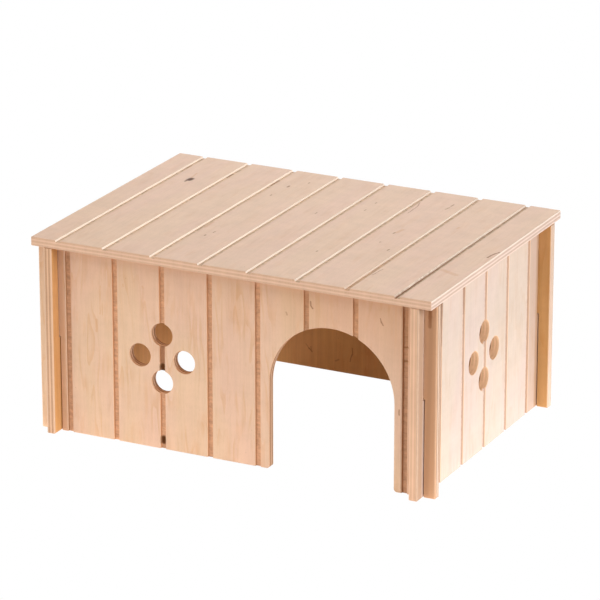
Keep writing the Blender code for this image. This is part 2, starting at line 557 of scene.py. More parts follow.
# %% [markdown]
# ## Birch plywood
# The finish follows how plywood is made. Everything is painted in the board's own
# millimetres: across the grooves, along them, and depth from the inner face. Depth says
# which ply a point lies in, and the way the surface faces says whether that ply shows its
# long grain or its end grain. That one rule gives the striped edges, the groove floors
# and the holes their colours, with no seams and no images.

# %% Paint in the board's own millimetres
OBJECT, NORMAL = 3, 1  # outputs of a Texture Coordinate node
DEPTH_SCALE = 25  # mm of depth over which a noise changes
DASH = 0.3  # longest reach of a dash, in cells
SHAKE = 1.2  # mm by which the outline of a stroke wavers
CORE = 0.25  # share of a stroke's width that has its full depth


class BoardPaint(Wiring):
    """The node tree of one board's finish, read in the board's own millimetres."""

    def __init__(self, tree, place, turn, seed):
        super().__init__(tree)
        self.seed = seed
        own = {"Rotation": turn, "Location": place, "Scale": (MM, MM, MM)}
        self.across, self.along, self.depth = self.turned(OBJECT, own)
        facing = self.turned(NORMAL, {"Rotation": turn})
        self.face_across, self.face_along, self.face_out = facing
        shake = (self.grain(1.5, 4, detail=2, layer=41) - 0.5) * SHAKE
        self.shaky = self.vector(self.across + shake, self.along, 0)

    def turned(self, output, sockets):
        """The object's coordinates or its normal, turned to lie with the board."""
        sockets["Vector"] = self.add("ShaderNodeTexCoord", out=output)
        return self.parts(self.add("ShaderNodeMapping", {"vector_type": "TEXTURE"}, sockets))

    def grain(self, width, length, detail, layer):
        """Soft noise in patches that are width mm across the grain and length mm along it."""
        layer = self.depth / DEPTH_SCALE + self.seed + layer
        place = self.vector(self.across / width, self.along / length, layer)
        sockets = {"Vector": place, "Scale": 1, "Detail": detail, "Roughness": 0.55}
        return self.number("ShaderNodeTexNoise", None, sockets)

    def dashes(self, width, length, share, layer):
        """Sparse dashes, 1 in the middle of each; share is how many cells have one."""
        place = self.vector(self.across / width, self.along / length, self.seed + layer)
        cells = {"Vector": place, "Scale": 1, "Randomness": 1}
        near = self.add("ShaderNodeTexVoronoi", {"voronoi_dimensions": "2D"}, cells)
        chance = self.parts(near.node.outputs["Color"])[0]
        reach = (chance.fade(1 - share, 1.15 - share) * DASH).most(0.001)
        return 1 - (Number(self, near) / reach).least(1)

    def stroke(self, start, end, width, depths):
        """A soft line, in mm on the board, that goes from the first depth to the last."""
        start, end = Vector((*start, 0)), Vector((*end, 0))
        reach = end - start
        away = self.vectors("SUBTRACT", self.shaky, start)
        share = self.vectors("DOT_PRODUCT", away, reach / reach.length_squared, out=1)
        share = Number(self, share).most(0).least(1)
        foot = {0: reach, "Scale": share}
        foot = self.add("ShaderNodeVectorMath", {"operation": "SCALE"}, foot)
        distance = Number(self, self.vectors("DISTANCE", away, foot, out=1))
        depth = share * (depths[1] - depths[0]) + depths[0]
        return distance.fade(width, width * CORE) * depth

    def vectors(self, operation, first, second, out=0):
        """Vector Math on two vectors. A number, such as a distance, comes at out 1."""
        settings, sockets = {"operation": operation}, {0: first, 1: second}
        return self.add("ShaderNodeVectorMath", settings, sockets, out)

    def marks(self, strokes):
        """The strongest of several strokes, each (start, end, width, depth or two depths)."""
        lines = []
        for start, end, width, *depths in strokes:
            lines.append(self.stroke(start, end, width, (depths[0], depths[-1])))
        strongest = lines[0]
        for line in lines[1:]:
            strongest = strongest.most(line)
        return strongest


print("a BoardPaint adds:", *(name for name in vars(BoardPaint) if not name.startswith("_")))

# %% [markdown]
# A peeled veneer is cut round and round the log, so the growth rings show as wide loops
# like the contour lines of a map. That is how they are made here: contour lines of a very
# soft, long noise. Over them lie streaks, fine fibres and short pores.

# %% The face of the sheet
BIRCH = (0.640, 0.425, 0.300)
BIRCH_PINK = (0.655, 0.425, 0.310)
BIRCH_YELLOW = (0.650, 0.440, 0.295)
RING_LINE = (0.560, 0.300, 0.150)
RESIN_STAIN_AND_SHADE = (0.560, 0.270, 0.120)
PITH_FLECK_AND_SHADE = (0.100, 0.035, 0.010)
RINGS = 8  # contour lines from the lowest to the highest place of the long noise
RING_WOBBLE = 0.7  # rings by which the small noise bends them
FACE_NOISES = {
    # mm across the grain, mm along it, detail and layer
    "patch": (34, 120, 1, 7),
    "streak": (7, 150, 3, 1),
    "fibre": (1.3, 45, 3, 3),
    "fine": (0.4, 12, 2, 5),
    "shimmer": (26, 5, 1, 9),
    "mottle": (7, 34, 3, 19),
    "blotch": (14, 18, 2, 20),
    "hill": (18, 130, 2, 11),
    "wobble": (4, 36, 1, 12),
    "region": (16, 45, 1, 13),
}
FACE_SHADES = {
    # how strongly the noise shades a plain board, and what a full figure adds
    "fibre": (0.09, 0.05),
    "fine": (0.10, 0.0),
    "streak": (0.04, 0.08),
    "shimmer": (0.06, 0.0),
    "blotch": (0.14, 0.0),
}


def face_veneer(paint, figure):
    """Colour and relief of the sanded face of a board; figure is how strongly rings show."""
    noise = {name: paint.grain(*size) for name, size in FACE_NOISES.items()}
    hills = noise["hill"] * RINGS + noise["wobble"] * RING_WOBBLE
    ring = hills.math("FRACT", hills)
    line = ring.fade(0.45, 0.95) * ring.fade(1.0, 0.95)
    strength = noise["region"].fade(0.42, 0.62) * figure
    pores = paint.dashes(0.55, 4.5, share=0.5, layer=15)
    flecks = paint.dashes(5, 12, share=0.05, layer=17)

    yellow = noise["patch"].fade(0.38, 0.62) * (0.4 + 0.6 * figure)
    stained = noise["mottle"].fade(0.54, 0.70) * (0.08 + 0.12 * figure)
    colour = paint.mix(yellow, BIRCH_PINK, BIRCH_YELLOW)
    colour = paint.mix(noise["streak"].fade(0.3, 0.7) * 0.6, colour, BIRCH)
    colour = paint.mix(line * strength * 0.40, colour, RING_LINE)
    colour = paint.mix(stained, colour, RESIN_STAIN_AND_SHADE)
    shade = 1
    for name, (plain, full) in FACE_SHADES.items():
        shade = shade + (noise[name] - 0.5) * (plain + full * figure)
    shade = shade - pores * 0.10
    colour = paint.tint(colour, shade)
    colour = paint.mix(flecks * 0.45, colour, PITH_FLECK_AND_SHADE)
    relief = noise["fibre"] * 0.5 + noise["fine"] * 0.35 - pores * 0.5 - line * strength * 0.2
    return colour, relief


print("noises on a face:", len(FACE_NOISES))

# %% [markdown]
# The sawn edges show all five plies. Odd plies run with the board and even ones across
# it, so where one shows its smooth long grain the next shows its darker end grain, and
# round a hole they trade places every quarter turn.

# %% The sawn edges
GLUE_LINE = (0.330, 0.190, 0.110)
WANDER = 0.36  # mm by which a glue line wanders
HELD_END = 0.25  # the share of end grain that a change of contrast leaves alone


def sawn_edges(paint, contrast, long_grain, end_grain):
    """Colour and relief of the five plies on a sawn edge."""
    ply = BOARD / MM / PLIES
    wander = paint.grain(14, 14, detail=1, layer=21) * WANDER - WANDER / 2
    angle = (paint.depth + wander) * (pi / ply)
    wave = angle.math("SINE", angle)
    crossed = wave.fade(0.15, -0.15)
    end = paint.face_along * paint.face_along * (1 - crossed)
    end = end + paint.face_across * paint.face_across * crossed
    pores = paint.dashes(0.35, 0.35, share=0.6, layer=23)
    fibre = paint.grain(6, 16, detail=3, layer=25)
    colour = paint.mix(HELD_END + (end - HELD_END) * contrast, long_grain, end_grain)
    colour = paint.mix(abs(wave).fade(0.28, 0.08) * 0.25 * contrast, colour, GLUE_LINE)
    shade = 1 + (fibre - 0.5) * 0.22 - pores * end * 0.25
    colour = paint.tint(colour, shade)
    relief = fibre * 0.3 - end * 0.5 - pores * end * 0.3
    return colour, relief


print("one ply, mm:", round(BOARD / MM / PLIES, 2))

# %% [markdown]
# A router bit tears the second ply a little, and the floor darkens towards the groove's
# corners.
# No two grooves come out alike, so each gets a tone of its own: a colour ramp without
# blending steps from one grey to the next, half way between the grooves.

# %% The groove floors
FLOOR_CORNER = (0.9, 1.9)  # mm from the middle of a groove, over which it darkens
CORNER_SHADE = (0.06, 0.14, 0.18)  # how much red, green and blue the corners lose


def groove_tone(paint, first_groove, tones):
    """A grey that steps from one groove's tone to the next."""
    reach = GROOVE_PITCH / MM * len(tones)
    share = (paint.across - first_groove / MM + reach / len(tones) / 2) / reach
    stops = [(step / len(tones), (tone, tone, tone)) for step, tone in enumerate(tones)]
    tone = paint.add("ShaderNodeValToRGB", {"stops": stops}, {"Fac": share})
    tone.node.color_ramp.interpolation = "CONSTANT"
    return tone


def groove_floor(paint, first_groove, look):
    """Colour and relief of the second ply, laid bare by the router."""
    half_pitch = GROOVE_PITCH / MM / 2
    place = (paint.across - first_groove / MM).wrapped(-half_pitch, half_pitch)
    fibre = paint.grain(7, 0.7, detail=3, layer=31)
    patch = paint.grain(4, 3, detail=2, layer=33)
    corner = abs(place).fade(*FLOOR_CORNER)
    shade = 1 + (fibre - 0.5) * 0.5 + (patch - 0.5) * 0.9
    shade = paint.vector(*(shade - corner * loss for loss in CORNER_SHADE))
    colour = paint.tint(look["floor"], shade)
    colour = paint.tint(colour, groove_tone(paint, first_groove, look["tones"]))
    return colour, fibre * 0.8


print("darkest corner loss:", max(CORNER_SHADE))

# %% [markdown]
# Each finish goes where it belongs: veneer on flat faces, plies on edges, bare second ply
# on groove floors, a colour of their own on groove sides, and a pale sanded line where an
# edge was eased. The groove sides' colour is partly router scorch and partly painted shade
# in the front and back walls, and painted light on the roof. The surface's direction tells
# them apart. Its outward part is 1 on the outer face, -1 on the inner face and 0 on a sawn
# edge.

# %% Where each finish belongs
FLOOR_DEPTH = (0.4, 0.9)  # mm below the face, over which a groove floor begins


def places(paint):
    """Masks of the flat faces, the eased edges, the groove floors and the groove sides."""
    out, thick = paint.face_out, BOARD / MM
    flat = abs(out).fade(0.90, 0.985)
    eased = abs(out).fade(0.34, 0.55) * (1 - flat)
    sunk = paint.depth.fade(*(thick - depth for depth in FLOOR_DEPTH))
    side = out.fade(0.12, 0.2) * out.fade(0.5, 0.4) * abs(paint.face_across).fade(0.8, 0.9)
    return flat, eased, out.fade(0.5, 0.8) * sunk, side


print("groove floors begin below, mm:", FLOOR_DEPTH[0])

# %% [markdown]
# Boards from one sheet still differ, so the finish takes a look: a dictionary that says
# how a board departs from the plain one below.

# %% The plain look
INNER_FACE = (0.600, 0.330, 0.135)
LONG_GRAIN = (0.700, 0.460, 0.315)
END_GRAIN = (0.500, 0.300, 0.190)
PLAIN = {
    "tint": (1, 1, 1),  # multiplies the outer face
    "inner": INNER_FACE,
    "long_grain": LONG_GRAIN,
    "end_grain": END_GRAIN,
    "floor": (0.595, 0.332, 0.203),  # of the grooves
    # Groove sides of the front and back walls: partly router scorch, partly painted shade.
    "side": (0.560, 0.290, 0.148),
    "tones": (1.0,),  # of the groove floors, from one groove to the next
    "side_tones": (1.0,),
    "lip": 0.0,  # how far the sides' colour reaches over the eased mouths
    "bore_tint_and_light": (1, 1, 1),  # multiplies the sawn edges away from the board's ends
    "highlit_end": 0,  # 1 or -1 for the end that faces the window
    "figure": 1.0,  # how strongly the growth rings show
    "plies": 0.6,  # how strongly the plies show
    "even_front": 0.0,  # how much weaker they are along the grooves' ends
    "marked_side": 1,  # 1 for the outer face, -1 for the inner one
    "washes": (),  # pairs of a colour and its strokes, painted in turn
}
print("a look can change:", ", ".join(PLAIN))

# %% [markdown]
# Now all of it comes together in one material. The order matters, since each mix covers
# what came before it: faces over edges, then the grooves, and single marks last.

# %% The whole plywood finish
SANDED_EDGE = (0.760, 0.560, 0.420)
# Painted highlight on the sawn end that faces the window lamp.
WINDOW_END_HIGHLIGHT = (1.000, 1.150, 1.320)  # multiplies the sawn end that faces the window
BARE_WOOD_GLOSS = 0.06
BORES = (108, 100)  # mm from a board's middle, over which the tint of the bores begins


def new_finish(name):
    """A new material and its Principled shader."""
    material = bpy.data.materials.new(name)
    material.use_nodes = True
    return material, material.node_tree.nodes["Principled BSDF"]


def birch_plywood(name, place, turn, seed, first_groove, look):
    """A plywood material for one board, which lies at place, turned by turn."""
    look = PLAIN | look
    material, shader = new_finish(name)
    paint = BoardPaint(material.node_tree, place, turn, seed)
    out = paint.face_out
    flat, eased, on_floor, on_side = places(paint)

    face, face_relief = face_veneer(paint, look["figure"])
    streaks = 0.94 + 0.12 * paint.grain(4, 120, detail=3, layer=51).fade(0.3, 0.7)
    inner = [streaks * (n / m) for n, m in zip(look["inner"], BIRCH)]
    inner = paint.tint(face, paint.vector(*inner))
    face = paint.tint(face, look["tint"])
    face = paint.mix(out.fade(-0.5, -0.8), face, inner)
    contrast = look["plies"] * (1 - abs(paint.face_along) * look["even_front"])
    edge, edge_relief = sawn_edges(paint, contrast, look["long_grain"], look["end_grain"])
    bores = abs(paint.across).fade(*BORES)
    edge = paint.mix(bores, edge, paint.tint(edge, look["bore_tint_and_light"]))
    # Painted highlight: the sawn end that faces the window lamp is made paler.
    window_highlight = (paint.face_across * look["highlit_end"]).fade(0.7, 0.9)
    edge = paint.mix(window_highlight, edge, paint.tint(edge, WINDOW_END_HIGHLIGHT))
    bare, bare_relief = groove_floor(paint, first_groove, look)
    # Groove sides carry painted light on the roof, and partly painted shade in the walls.
    side = paint.tint(look["side"], groove_tone(paint, first_groove, look["side_tones"]))
    colour = paint.mix(flat, edge, face)
    colour = paint.mix(on_side, colour, side)
    colour = paint.mix(eased * 0.5, colour, SANDED_EDGE)
    # On the roof this carries the groove sides' painted light over the eased mouths.
    lip = eased * abs(paint.face_across).fade(0.3, 0.5) * look["lip"]
    colour = paint.mix(lip, colour, side)
    colour = paint.mix(on_floor, colour, bare)
    marked = (out * look["marked_side"]).fade(0.1, 0.2)
    for wash, strokes in look["washes"]:
        colour = paint.mix(paint.marks(strokes) * marked, colour, wash)
    relief = edge_relief + (face_relief - edge_relief) * flat
    relief = relief + (bare_relief - relief) * on_floor
    bump = {"Height": relief, "Strength": 0.35, "Distance": 0.12 * MM}
    paint.feed(shader.inputs["Base Color"], colour)
    paint.feed(shader.inputs["Roughness"], 0.72 - flat * 0.17 + relief * 0.08)
    paint.feed(shader.inputs["Normal"], paint.add("ShaderNodeBump", None, bump))
    shader.inputs["Specular IOR Level"].default_value = BARE_WOOD_GLOSS
    return material


print("gloss of bare wood:", BARE_WOOD_GLOSS)

# %% [markdown]
# ## Build the house
# Sizes come from the CAD parts' own boxes wherever they can, so that the dressed boards
# stay where the model has them. The long walls are slotted from below and the side walls
# from above, and the two slots meet half way up.

# %% Sizes and slots of the boards
CROSSING_HEIGHT = 76 * MM
SEAT_GAP = 0.3 * MM  # left between the feet of two crossed slots
roof_low, roof_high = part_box("roof")
side_low, side_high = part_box("right_wall")
WALL_LENGTH = wall_high.x - wall_low.x
WALL_HEIGHT = wall_high.z - wall_low.z
SIDE_LENGTH = side_high.y - side_low.y
LONG_INNER = -wall_high.y
SIDE_INNER = side_low.x
SIDE_SLOT = LONG_INNER + BOARD / 2
LONG_SLOT = SIDE_INNER + BOARD / 2

long_slots = slots(LONG_SLOT, -OVERRUN, CROSSING_HEIGHT)
side_slots = slots(SIDE_SLOT, CROSSING_HEIGHT - SEAT_GAP, WALL_HEIGHT + OVERRUN)
long_sizes = {
    "Length": WALL_LENGTH, "Height": WALL_HEIGHT, "First Groove": 25 * MM, "Grooves": 8,
}
front_vents = {"Vents": 4, "Vent Middle": (-60.2 * MM, 72.3 * MM, 0)}
side_sizes = {
    "Length": SIDE_LENGTH, "Height": WALL_HEIGHT, "Grooves": 5,
    "Vents": 4, "Vent Middle": (0, 75 * MM, 0),
}
roof_sizes = {
    "Length": roof_high.x - roof_low.x, "Height": roof_high.y - roof_low.y,
    "First Groove": 23 * MM, "Grooves": 8,
}
print("walls, mm:", [round(n / MM, 1) for n in (WALL_LENGTH, WALL_HEIGHT, SIDE_LENGTH)])

# %% [markdown]
# ## A look for each board
# A mark is a stroke between two points of the board, in mm, with its width and its depth
# of colour from 0 to 1. With two depths it fades from one end to the other. Knots, flecks
# and stains go where the real boards have them, and broad faint strokes paint light and
# shade: painted shade where the boards cross and over the upper front wall, and a painted
# lighter band under the roof's edge. The front wall carries most of them.

# %% The front wall's marks and look
# Painted light under the roof's edge, painted shade past the right wall, and brown marks.
PAINTED_LIGHT_UNDER_ROOF = (0.800, 0.530, 0.380)
PAINTED_SHADE_FRONT_END = (0.530, 0.298, 0.172)
MARK_BROWN = (0.220, 0.080, 0.030)


def show_look(name, look):
    """Print how many strokes a look paints on its board."""
    print(name, "look:", sum(len(strokes) for _, strokes in look["washes"]), "strokes")


FRONT_MARKS = (
    ((63.6, 137), (64.0, 134), 0.9, 0.55), ((64.0, 134), (65.3, 132), 0.9, 0.65),
    ((43.6, 125.6), (44.4, 123.8), 1.0, 0.35),
    ((120.0, 132.7), (120.8, 129.8), 0.8, 0.6), ((120.8, 129.8), (122.2, 128), 0.8, 0.6),
    ((139, 113.5), (142, 114), 0.9, 0.6), ((139, 102.8), (142, 103.3), 0.9, 0.6),
    ((135.4, 65), (135.4, 61), 0.8, 0.55), ((149.4, 143), (149.4, 141), 0.9, 0.5),
    ((-150.6, 139), (-150, 138.2), 1.0, 0.5),
    ((-60, 84), (-60, 70), 3.2, 0.6), ((159.6, 151), (159.2, 133), 2.2, 1.0, 0.5),
)
# Dark flecks in the third groove, a darker line down the last groove, and painted shade on the
# strip past the right wall (the stroke at 160.5).
FRONT_FLECKS_AND_SHADE = (
    ((-60, 66.5), (-60, 61.5), 3.2, 1.0), ((-60, 8.4), (-60, 5.4), 3.2, 1.0),
    ((137.9, -2), (137.9, 150), 1.5, 0.26), ((160.5, 140), (158, 0), 2.6, 0.12),
)
# Resin stains, and painted shade: the stroke at -146 on the strip beside the left wall, and the
# two broad strokes over the upper front wall.
FRONT_STAINS_AND_SHADE = (
    ((-115.7, 94.3), (-115.9, 85.4), 1.6, 0.35), ((-112.2, 121.8), (-112.6, 99.5), 0.7, 0.35),
    ((-92.5, 126.1), (-92.3, 124.5), 1.2, 0.3), ((-76.3, 127), (-75.5, 125.8), 1.2, 0.3),
    ((64.8, 123), (65.2, 115.5), 1.0, 0.25), ((-146, -5), (-146, 155), 4.5, 0.40),
    ((-160, 150), (60, 150), 60, 0.08), ((75, 150), (130, 150), 70, 0.25),
)
FRONT_LOOK = {
    "tint": (1.04, 1.08, 1.13),
    "tones": (0.96, 1.04, 1.0, 1.0, 1.06, 0.86, 1.0, 0.78),
    "side_tones": (0.80, 1.04, 1.05, 0.96, 0.78, 0.86, 0.70, 0.83),
    "bore_tint_and_light": (1.10, 1.00, 0.90),
    "highlit_end": 1,
    "plies": 1.33,
    "end_grain": (0.380, 0.200, 0.110),
    "washes": (
        # Painted light: a paler band just under the roof's front edge.
        (PAINTED_LIGHT_UNDER_ROOF, (((-140, 152), (138, 152), 13, 0.7),)),
        # Resin stains, with painted shade beside the left wall and over the upper wall.
        (RESIN_STAIN_AND_SHADE, FRONT_STAINS_AND_SHADE),
        # Painted shade on the strip of the front wall past the right wall.
        (PAINTED_SHADE_FRONT_END, (((160, -5), (160, 155), 9, 1.0),)),
        (MARK_BROWN, FRONT_MARKS),
        # Dark flecks, with painted shade on the strip past the right wall.
        (PITH_FLECK_AND_SHADE, FRONT_FLECKS_AND_SHADE),
    ),
}
show_look("front wall", FRONT_LOOK)

# %% [markdown]
# From the front, most of what shows of the back wall is its inner face, seen through the
# doorway, so its marks lie on that side. Its groove floors differ as the front wall's do.
# The strip of its inner face past the right wall carries painted shade.

# %% The back wall's marks and look
BACK_MARKS = (
    ((43.7, 19), (41, 16), 0.7, 0.3), ((41, 16), (38.4, 13.4), 0.8, 0.5),
    ((39.3, 17.5), (38.8, 14), 0.7, 0.4), ((17.4, 9), (14.5, 10.4), 1.0, 0.3),
    ((2.7, 22), (2.7, 17), 0.7, 0.4), ((2.7, 17), (4.8, 10.5), 0.8, 0.4),
)
# Painted shade on the inner face's strip past the right wall.
BACK_PAINTED_SHADE = (((-160, 155), (-160, 0), 9, 0.26, 0.24),)
BACK_LOOK = {
    "tint": (1.04, 1.08, 1.13),
    "figure": 0.8,
    "tones": (0.9, 1.0, 0.93, 1.0, 1.0, 0.98, 1.0, 0.8),
    "highlit_end": -1,
    "marked_side": -1,
    "washes": ((PITH_FLECK_AND_SHADE, BACK_MARKS + BACK_PAINTED_SHADE),),
}
show_look("back wall", BACK_LOOK)

# %% [markdown]
# The side walls are cut from a calmer part of the sheet: little figure, faint plies and
# pale grooves. Both start from one look. The right one carries painted shade at its two
# ends, beside the walls that cross it, and is darker at the tops of two grooves; the left
# one shows its plies more.

# %% The side walls' marks and looks
# Painted shade for the right wall's two ends, beside the walls that cross it.
PAINTED_SHADE_SIDE_ENDS = (0.390, 0.225, 0.125)
RIGHT_PAINTED_SHADE = (
    ((-113, -5), (-113, 155), 7, 0.75),
    ((90, -5), (90, 155), 12, 0.35), ((101, -5), (101, 155), 9, 0.8),
)
RIGHT_MARKS = (
    ((-76.8, 155), (-76.8, 108), 1.9, 0.65, 0.1), ((-36.8, 155), (-36.8, 120), 1.9, 0.35, 0.1),
)
SIDE_LOOK = {
    "tint": (0.93, 1.13, 1.36),
    "inner": (0.600, 0.320, 0.130),
    "floor": (0.580, 0.430, 0.350),
    "side": (0.580, 0.415, 0.320),
    # Painted light: the side walls' bores are made paler, standing in for light that reaches
    # into them.
    "bore_tint_and_light": (1.20, 1.24, 1.14),
    "figure": 0.5,
    "plies": 0.35,
}
RIGHT_LOOK = SIDE_LOOK | {
    "long_grain": (0.760, 0.495, 0.350),
    "washes": ((PAINTED_SHADE_SIDE_ENDS, RIGHT_PAINTED_SHADE), (PITH_FLECK_AND_SHADE, RIGHT_MARKS)),
}
LEFT_LOOK = SIDE_LOOK | {"plies": 0.7, "end_grain": (0.440, 0.250, 0.155)}
show_look("right wall", RIGHT_LOOK)

# %% [markdown]
# The roof lies open to the light and has the palest grooves, apart from the last one. The
# sides of its grooves carry painted light, and the last groove carries painted shade. One
# dark knot and a scatter of short flecks are all that breaks up its face.

# %% The roof's marks and look
PAINTED_GROOVE_SHADE = (0.200, 0.070, 0.015)
ROOF_KNOT = (
    ((-124.6, 179.6), (-124.9, 176.4), 3.7, 1.0), ((-125.2, 178), (-126.2, 172), 1.3, 0.9),
)
ROOF_MARKS = (
    ((-142.9, 198), (-142.9, 214), 1.0, 0.45), ((-102.9, 198), (-102.9, 209), 1.0, 0.5),
    ((-62.9, 196), (-62.9, 210), 1.0, 0.6),
    ((-47.9, 194.3), (-47.7, 197.4), 1.2, 0.65), ((-50, 169.5), (-50, 171.5), 0.9, 0.55),
    ((-49.9, 60.2), (-49.9, 62.2), 1.0, 0.6), ((-47.2, 69.2), (-47.0, 72.2), 0.8, 0.5),
    ((-37.3, 210), (-37.3, 212), 0.9, 0.5), ((1, 144.5), (1, 147.5), 0.9, 0.45),
    ((41.7, 64.2), (41.7, 66.2), 0.9, 0.5), ((87.7, 90), (87.9, 92.5), 1.0, 0.6),
    ((74.4, 104.3), (74.5, 106), 0.8, 0.5), ((74.7, 127.6), (74.8, 130.4), 1.0, 0.5),
    ((31.2, 168), (31.3, 171), 0.8, 0.45), ((31.2, 187.5), (31.2, 190), 0.8, 0.45),
    ((85.3, 198.6), (86.6, 203.6), 0.9, 0.5), ((86.2, 206.5), (86.4, 212), 0.9, 0.5),
    ((57.6, 215.7), (63.2, 196.3), 0.7, 0.45), ((63.2, 196.3), (63.7, 177.2), 0.7, 0.45),
    ((103, 50), (101.7, 34.2), 0.6, 0.5),
    ((160.7, 108), (161.3, 114.7), 1.1, 0.8), ((161.3, 114.7), (163.6, 123), 0.9, 0.8),
)
# Painted shade down the roof's last groove, darkest at the front.
ROOF_GROOVE_SHADE = (
    ((136.9, -4), (136.9, 110), 1.5, 0.75, 0.35), ((136.9, 110), (136.9, 250), 1.5, 0.35, 0.12),
)
ROOF_STAINS = (
    ((-125.5, 180), (-127.6, 194.6), 1.2, 0.35), ((-58.8, 78), (-59.1, 91.4), 2.0, 0.35),
    ((143.2, 67.5), (156.3, 61.5), 3.5, 0.28), ((76, 131), (77.4, 139), 2.5, 0.3),
    ((97.5, -4), (97.5, 140), 2.8, 0.4, 0.0), ((112.7, 160), (112.7, 163), 1.2, 0.3),
)
ROOF_LOOK = {
    "tones": (1.0, 1.0, 1.0, 1.0, 1.0, 1.0, 1.0, 0.9),
    "side_tones": (1.0, 1.0, 0.98, 0.93, 0.89, 0.86, 0.82, 0.86),
    "tint": (1.10, 1.195, 1.30),
    "long_grain": (0.725, 0.495, 0.372),
    "end_grain": (0.520, 0.322, 0.222),
    "even_front": 0.5,
    "floor": (0.650, 0.455, 0.325),
    # Painted light: the roof's groove sides, which face the window lamp, are near white, and
    # lip spreads that over their eased mouths.
    "side": (1.000, 0.865, 0.745),
    "lip": 1.0,
    "highlit_end": 1,
    "figure": 0.3,
    "plies": 0.8,
    "washes": (
        (RESIN_STAIN_AND_SHADE, ROOF_STAINS),
        (PAINTED_GROOVE_SHADE, ROOF_GROOVE_SHADE),
        (MARK_BROWN, ROOF_MARKS),
        (PITH_FLECK_AND_SHADE, ROOF_KNOT),
    ),
}
show_look("roof", ROOF_LOOK)

# %% [markdown]
# With sizes, openings and looks in hand, the five boards come out of one loop. Each rides
# on the body of the CAD part that it stands for.

# %% The five boards
UPRIGHT = radians(90)
LONG_END_ROUND = 1.0 * MM
SIDE_END_ROUND = 1.1 * MM
ROOF_END_ROUND = 0.6 * MM
SEED_STEP = 10  # sets the noises of one board apart from the next board's
BOARDS = (
    ("front_wall", "long_walls", long_slots + [doorway()], long_sizes | front_vents,
     LONG_END_ROUND, (0, -LONG_INNER, 0), (UPRIGHT, 0, 0), FRONT_LOOK),
    ("back_wall", "long_walls", long_slots, long_sizes,
     LONG_END_ROUND, (0, LONG_INNER, 0), (UPRIGHT, 0, pi), BACK_LOOK),
    ("right_wall", "right_wall", side_slots, side_sizes | {"First Groove": 39 * MM},
     SIDE_END_ROUND, (SIDE_INNER, 0, 0), (UPRIGHT, 0, pi / 2), RIGHT_LOOK),
    ("left_wall", "left_wall", side_slots, side_sizes | {"First Groove": 36 * MM},
     SIDE_END_ROUND, (-SIDE_INNER, 0, 0), (UPRIGHT, 0, -pi / 2), LEFT_LOOK),
    ("roof", "roof", [], roof_sizes,
     ROOF_END_ROUND, (0, roof_low.y, roof_low.z), (0, 0, 0), ROOF_LOOK),
)
for seed, (node, body, openings, sizes, end_round, place, turn, look) in enumerate(BOARDS):
    first_groove = sizes["First Groove"] - sizes["Length"] / 2
    finish = birch_plywood(node + "_birch", place, turn, SEED_STEP * seed, first_groove, look)
    sizes = sizes | {"Wood": finish}
    piece = make_board(node + "_board", openings, sizes, end_round, place, turn)
    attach(piece, body)
    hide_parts(node)

# %% [markdown]
# ## The battens
# The two battens are planed softwood strips, glued under the roof so that it can't slide
# off. Softwood shows its growth rings plainly: parallel lines along the strip and arcs on
# its ends. Both come from one rule, rings round a heart line that lies outside the strip.

# %% Softwood for the battens
SOFTWOOD_PALE = (0.700, 0.480, 0.290)
SOFTWOOD_DARK = (0.500, 0.280, 0.130)
RING_WIDTH = 1.7
RING_DRIFT = 5  # mm by which the rings wander along the strip


def softwood(name, heart):
    """Planed softwood whose rings run round a line along X through heart, (y, z) in mm."""
    material, shader = new_finish(name)
    paint = Wiring(material.node_tree)
    x, y, z = [side / MM for side in paint.parts(paint.add("ShaderNodeTexCoord", out=OBJECT))]
    place = {"Vector": paint.vector(x / 90, y / 12, z / 12), "Scale": 1, "Detail": 2}
    drift = paint.number("ShaderNodeTexNoise", None, place)
    fine = {"Vector": paint.vector(x / 14, y / 0.5, z / 0.5), "Scale": 1, "Detail": 3}
    fibre = paint.number("ShaderNodeTexNoise", None, fine)
    off_y, off_z = y - heart[0], z - heart[1]
    radius = (off_y * off_y + off_z * off_z) ** 0.5 + drift * RING_DRIFT
    ring = (radius / RING_WIDTH).math("FRACT", radius / RING_WIDTH)
    late = ring.fade(0.35, 0.92) * ring.fade(1, 0.94)
    colour = paint.mix(late * 0.75, SOFTWOOD_PALE, SOFTWOOD_DARK)
    shade = 1 + (fibre - 0.5) * 0.25
    colour = paint.tint(colour, shade)
    relief = {"Height": fibre * 0.5 + late * 0.5, "Strength": 0.3, "Distance": 0.1 * MM}
    paint.feed(shader.inputs["Base Color"], colour)
    paint.feed(shader.inputs["Roughness"], 0.68 - late * 0.14)
    paint.feed(shader.inputs["Normal"], paint.add("ShaderNodeBump", None, relief))
    return material


print("softwood rings, mm apart:", RING_WIDTH)

# %% [markdown]
# A planed strip is a box with its twelve edges rounded. The hearts of the two strips lie
# in different places, because no two strips come from the same part of a tree.

# %% Two softwood battens
BATTEN_ROUND = 0.7 * MM
BATTEN_STEPS = 2
HEARTS = {"roof_batten_front": (-112, 128), "roof_batten_back": (84, 131)}

for node, heart in HEARTS.items():
    low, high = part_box(node)
    strip = bmesh.new()
    bmesh.ops.create_cube(strip, size=1)
    bmesh.ops.scale(strip, verts=strip.verts, vec=high - low)
    bmesh.ops.translate(strip, verts=strip.verts, vec=(low + high) / 2)
    bmesh.ops.bevel(
        strip, geom=strip.edges, offset=BATTEN_ROUND, segments=BATTEN_STEPS, affect="EDGES"
    )
    data = bpy.data.meshes.new(node + "_strip")
    strip.to_mesh(data)
    strip.free()
    data.materials.append(softwood(node + "_softwood", heart))
    piece = add_object(node + "_strip", data)
    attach(piece, "roof")
    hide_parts(node)
    print(piece.name, [round(side / MM, 1) for side in piece.dimensions], "mm")

